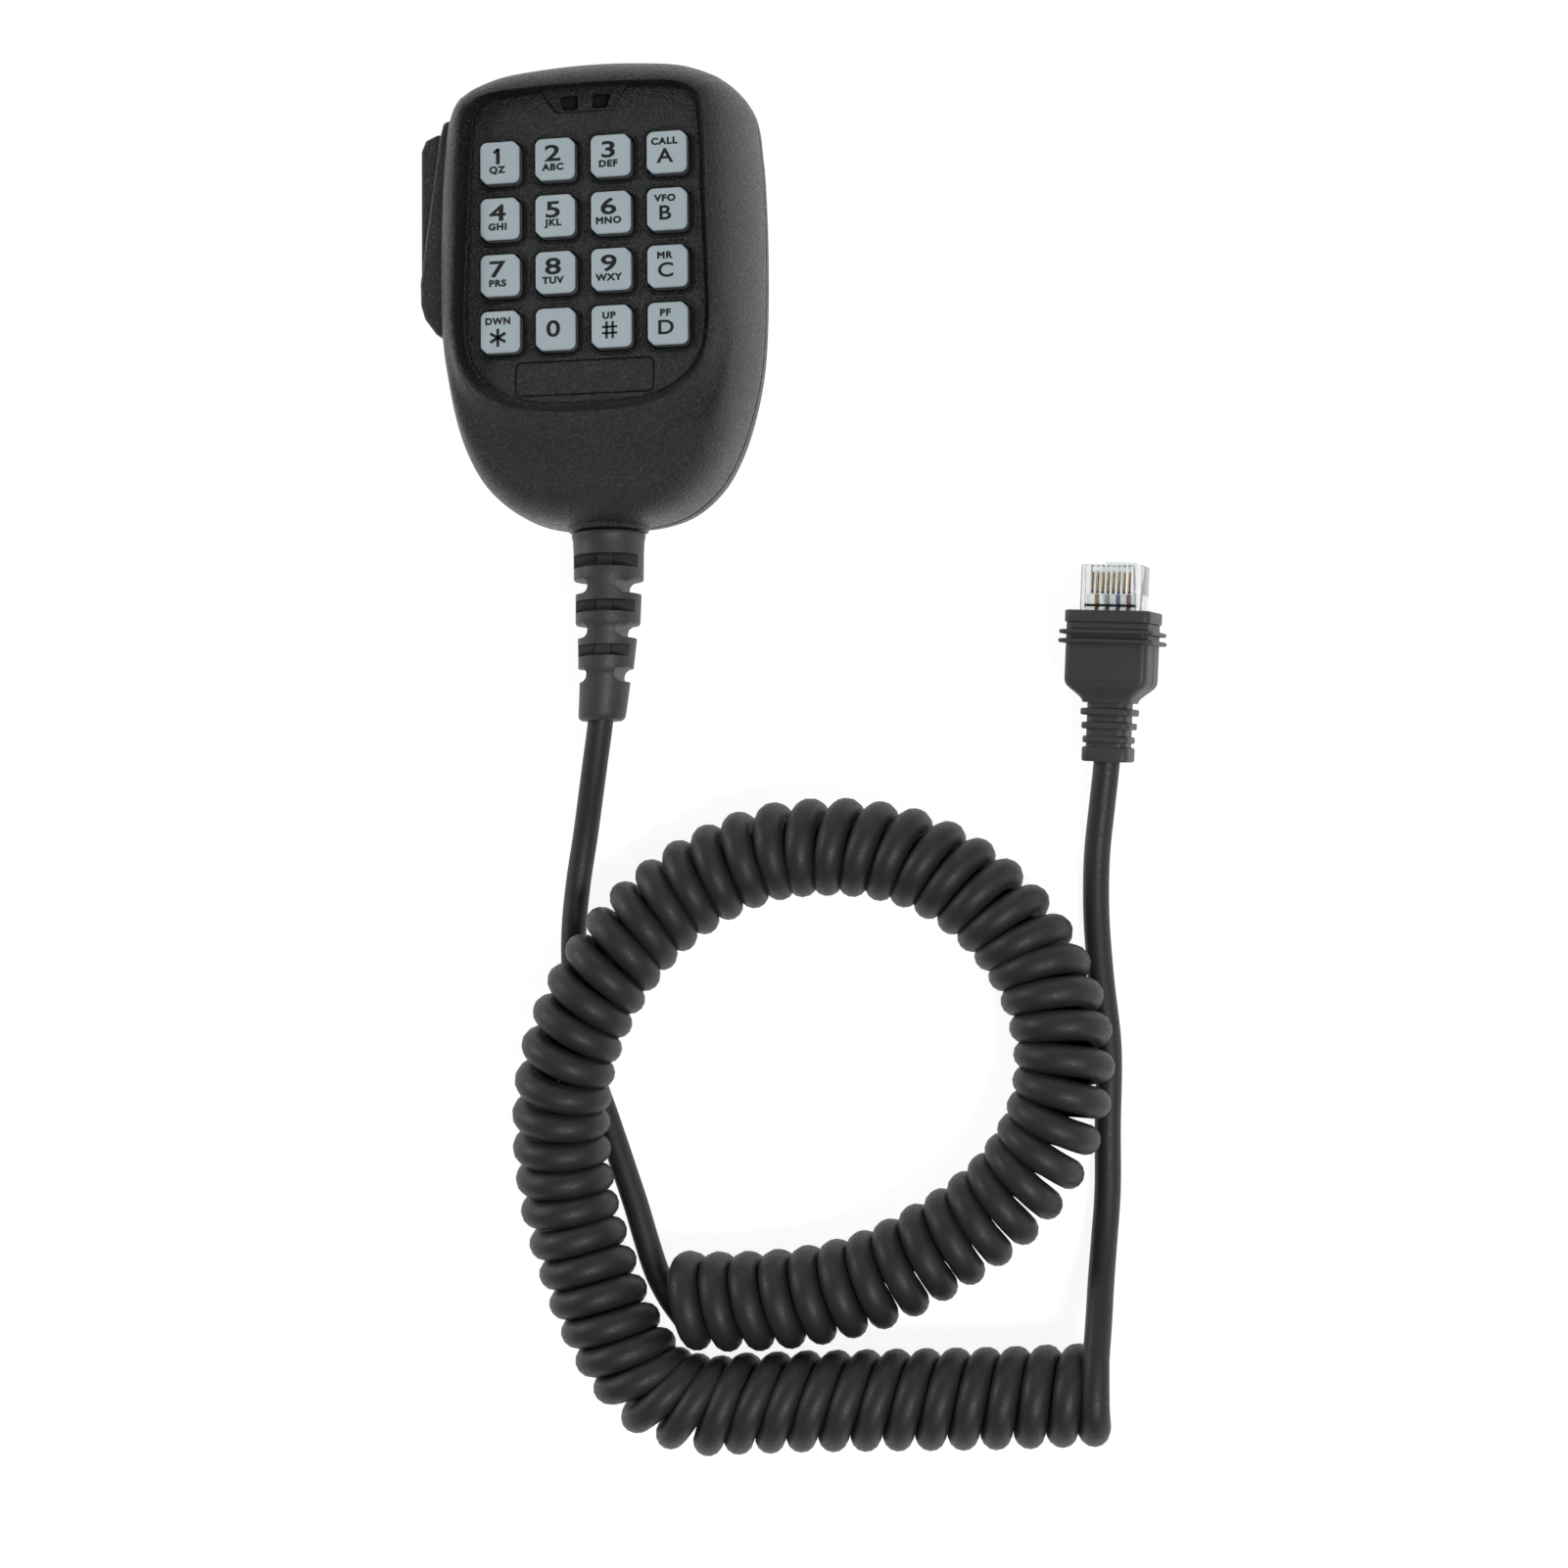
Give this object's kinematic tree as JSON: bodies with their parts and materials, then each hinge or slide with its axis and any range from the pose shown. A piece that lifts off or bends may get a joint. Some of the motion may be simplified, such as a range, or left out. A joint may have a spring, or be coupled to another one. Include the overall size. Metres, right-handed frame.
{
  "type": "hand microphone",
  "caption": "Handheld push-to-talk microphone with a keypad, a hanger knob, a strain relief and a curly cord that ends in a modular plug.",
  "frame": {"origin": "under the middle of the microphone's body and lever, on the surface it lies on, which is the rear face of its hanger knob", "axes": "+Z out of the keypad, +Y towards the microphone's top end with the sound slots, +X to the right seen from the keypad side; the push-to-talk lever is at -X and the cord leaves at -Y"},
  "size_m": [0.1405, 0.2672, 0.0374],
  "materials": {
    "shell_black": "fine moulded grain",
    "key_grey": "satin, pale grey-blue, black legends",
    "rubber_black": "matte moulded rubber",
    "cord_black": "satin extruded jacket",
    "clear_plastic": "clear moulded polycarbonate",
    "contact_gold": "gold flash",
    "screw_steel": "zinc plated",
    "capsule_aluminium": "satin can",
    "silicone_pale": "matte silicone",
    "board_green": "solder mask",
    "component_black": "moulded package",
    "nylon_white": "natural nylon",
    "felt_black": "dust felt"
  },
  "bodies": {
    "microphone": {"front_shell": "shell_black", "rear_shell": "shell_black", "badge_plate": "shell_black", "dust_screen": "felt_black", "ptt_hinge_pin": "screw_steel", "ptt_switch": "component_black", "keypad_mat": "silicone_pale", "circuit_board": "board_green", "tone_chip": "component_black", "cord_header": "nylon_white", "mic_capsule": "capsule_aluminium", "capsule_holder": "rubber_black", "hanger_knob": "shell_black", "hanger_screw": "screw_steel", "strain_relief": "rubber_black", "cord_lead": "cord_black", "curly_cord": "cord_black", "cord_tail": "cord_black", "plug_boot": "rubber_black", "plug_body": "clear_plastic", "board_screw_1": "screw_steel", "board_screw_2": "screw_steel", "board_screw_3": "screw_steel", "case_screw_1": "screw_steel", "case_screw_2": "screw_steel", "case_screw_3": "screw_steel", "case_screw_4": "screw_steel", "plug_contact_1": "contact_gold", "plug_contact_2": "contact_gold", "plug_contact_3": "contact_gold", "plug_contact_4": "contact_gold", "plug_contact_5": "contact_gold", "plug_contact_6": "contact_gold", "plug_contact_7": "contact_gold", "plug_contact_8": "contact_gold"},
    "ptt_lever": {"ptt_button": "shell_black"},
    "ptt_plunger": {"ptt_plunger": "nylon_white"},
    "key_1": {"key_1": "key_grey"},
    "key_2": {"key_2": "key_grey"},
    "key_3": {"key_3": "key_grey"},
    "key_a": {"key_a": "key_grey"},
    "key_4": {"key_4": "key_grey"},
    "key_5": {"key_5": "key_grey"},
    "key_6": {"key_6": "key_grey"},
    "key_b": {"key_b": "key_grey"},
    "key_7": {"key_7": "key_grey"},
    "key_8": {"key_8": "key_grey"},
    "key_9": {"key_9": "key_grey"},
    "key_c": {"key_c": "key_grey"},
    "key_star": {"key_star": "key_grey"},
    "key_0": {"key_0": "key_grey"},
    "key_hash": {"key_hash": "key_grey"},
    "key_d": {"key_d": "key_grey"},
    "latch": {"plug_latch": "clear_plastic"}
  },
  "joints": [
    {"name": "key_1_press", "type": "slide", "parent": "microphone", "child": "key_1", "axis": [0, 0, -1], "range_m": [0, 0.0012], "stiffness_N_per_m": 60},
    {"name": "key_2_press", "type": "slide", "parent": "microphone", "child": "key_2", "axis": [0, 0, -1], "range_m": [0, 0.0012], "stiffness_N_per_m": 60},
    {"name": "key_3_press", "type": "slide", "parent": "microphone", "child": "key_3", "axis": [0, 0, -1], "range_m": [0, 0.0012], "stiffness_N_per_m": 60},
    {"name": "key_a_press", "type": "slide", "parent": "microphone", "child": "key_a", "axis": [0, 0, -1], "range_m": [0, 0.0012], "stiffness_N_per_m": 60},
    {"name": "key_4_press", "type": "slide", "parent": "microphone", "child": "key_4", "axis": [0, 0, -1], "range_m": [0, 0.0012], "stiffness_N_per_m": 60},
    {"name": "key_5_press", "type": "slide", "parent": "microphone", "child": "key_5", "axis": [0, 0, -1], "range_m": [0, 0.0012], "stiffness_N_per_m": 60},
    {"name": "key_6_press", "type": "slide", "parent": "microphone", "child": "key_6", "axis": [0, 0, -1], "range_m": [0, 0.0012], "stiffness_N_per_m": 60},
    {"name": "key_b_press", "type": "slide", "parent": "microphone", "child": "key_b", "axis": [0, 0, -1], "range_m": [0, 0.0012], "stiffness_N_per_m": 60},
    {"name": "key_7_press", "type": "slide", "parent": "microphone", "child": "key_7", "axis": [0, 0, -1], "range_m": [0, 0.0012], "stiffness_N_per_m": 60},
    {"name": "key_8_press", "type": "slide", "parent": "microphone", "child": "key_8", "axis": [0, 0, -1], "range_m": [0, 0.0012], "stiffness_N_per_m": 60},
    {"name": "key_9_press", "type": "slide", "parent": "microphone", "child": "key_9", "axis": [0, 0, -1], "range_m": [0, 0.0012], "stiffness_N_per_m": 60},
    {"name": "key_c_press", "type": "slide", "parent": "microphone", "child": "key_c", "axis": [0, 0, -1], "range_m": [0, 0.0012], "stiffness_N_per_m": 60},
    {"name": "key_star_press", "type": "slide", "parent": "microphone", "child": "key_star", "axis": [0, 0, -1], "range_m": [0, 0.0012], "stiffness_N_per_m": 60},
    {"name": "key_0_press", "type": "slide", "parent": "microphone", "child": "key_0", "axis": [0, 0, -1], "range_m": [0, 0.0012], "stiffness_N_per_m": 60},
    {"name": "key_hash_press", "type": "slide", "parent": "microphone", "child": "key_hash", "axis": [0, 0, -1], "range_m": [0, 0.0012], "stiffness_N_per_m": 60},
    {"name": "key_d_press", "type": "slide", "parent": "microphone", "child": "key_d", "axis": [0, 0, -1], "range_m": [0, 0.0012], "stiffness_N_per_m": 60},
    {"name": "ptt_press", "type": "hinge", "parent": "microphone", "child": "ptt_lever", "pos_m": [-0.0285, 0.0003, 0.0214], "axis": [0, 0, -1], "range_deg": [0, 3], "stiffness_Nm_per_rad": 0.1},
    {"name": "ptt_plunger_slide", "type": "slide", "parent": "microphone", "child": "ptt_plunger", "axis": [1, 0, 0], "range_m": [0, 0.00105]},
    {"name": "latch_squeeze", "type": "hinge", "parent": "microphone", "child": "latch", "pos_m": [0.09905, -0.05427, 0.00569], "axis": [-0.9806, 0.0727, -0.1818], "range_deg": [0, 9], "stiffness_Nm_per_rad": 0.001}
  ],
  "couplings": [
    {"joint": "ptt_plunger_slide", "follows": "ptt_press", "m_per_rad": 0.019}
  ]
}
